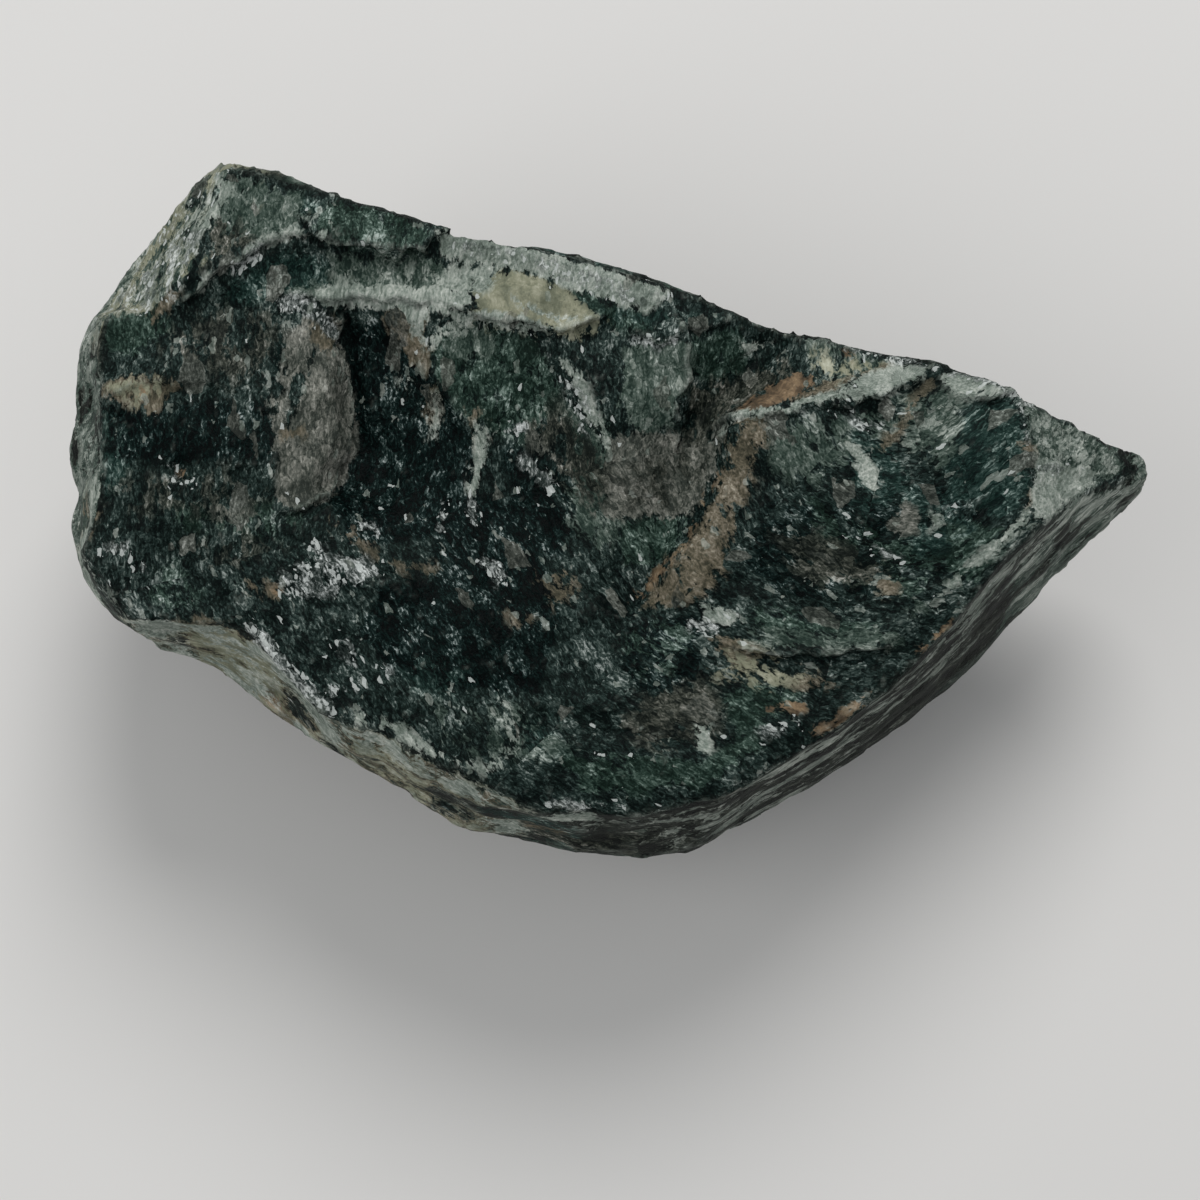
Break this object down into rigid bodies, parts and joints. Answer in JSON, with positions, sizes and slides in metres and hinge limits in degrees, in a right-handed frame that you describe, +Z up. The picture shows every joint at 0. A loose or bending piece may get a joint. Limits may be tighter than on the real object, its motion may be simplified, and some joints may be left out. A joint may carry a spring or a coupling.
{
  "type": "green aventurine",
  "caption": "Rough broken lump of dark green aventurine quartz with a pointed end, a folded top face and a flat spot underneath to rest on.",
  "frame": {"origin": "middle of the bounding box, at the level of the flat spot it rests on", "axes": "+X towards the pointed end, +Y towards the long back edge, +Z up"},
  "size_m": [0.1, 0.0614, 0.0384],
  "materials": {
    "green_aventurine": "rough fracture surface, waxy to dull, with fine pale flecks"
  },
  "bodies": {
    "root": {"rough_stone": "green_aventurine"}
  },
  "joints": []
}
